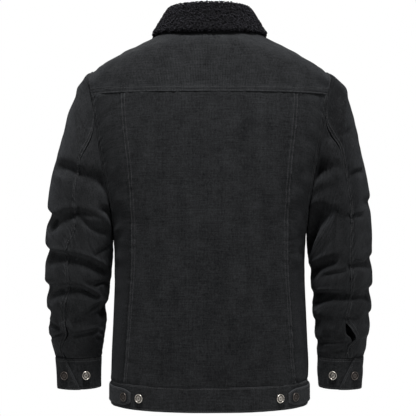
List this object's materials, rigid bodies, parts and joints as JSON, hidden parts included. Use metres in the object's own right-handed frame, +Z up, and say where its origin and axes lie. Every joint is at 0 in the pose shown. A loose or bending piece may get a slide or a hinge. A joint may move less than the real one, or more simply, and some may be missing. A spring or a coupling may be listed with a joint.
{
  "type": "sherpa lined jacket",
  "caption": "Short corduroy jacket with a fold-over pile collar, buttoned fronts, cuffs and waistband, filled out in its worn shape with pushed-up sleeves.",
  "frame": {"origin": "middle of the neck opening, level with the collar seam at the back, where the wearer's neck and shoulders hold the jacket", "axes": "+Z up, -Y the way the fronts face, +X the wearer's left"},
  "size_m": [0.6074, 0.2826, 0.731],
  "materials": {
    "corduroy": "black fine-wale corduroy, matt with a soft nap",
    "sherpa": "black sherpa pile in small curls",
    "bronze_button": "dark antiqued bronze",
    "nickel_button": "light antiqued metal with a ring"
  },
  "bodies": {
    "root": {"back_yoke": "corduroy", "back_centre": "corduroy", "front_placket": "corduroy", "waistband": "corduroy", "back_side_left": "corduroy", "front_left": "corduroy", "waist_tab_left": "corduroy", "sleeve_outer_left": "corduroy", "sleeve_under_left": "corduroy", "cuff_left": "corduroy", "back_side_right": "corduroy", "front_right": "corduroy", "waist_tab_right": "corduroy", "sleeve_outer_right": "corduroy", "sleeve_under_right": "corduroy", "cuff_right": "corduroy", "collar": "sherpa", "button_waist_tab_left": "bronze_button", "button_cuff_lap_left": "bronze_button", "button_waist_tab_right": "bronze_button", "button_cuff_lap_right": "bronze_button", "button_waist_band_left": "nickel_button", "button_cuff_far_left": "nickel_button", "button_waist_band_right": "nickel_button", "button_cuff_far_right": "nickel_button", "button_front_1": "nickel_button", "button_front_2": "nickel_button", "button_front_3": "nickel_button", "button_front_4": "nickel_button", "button_front_5": "nickel_button", "button_front_6": "nickel_button", "button_waist_front": "nickel_button"}
  },
  "joints": []
}
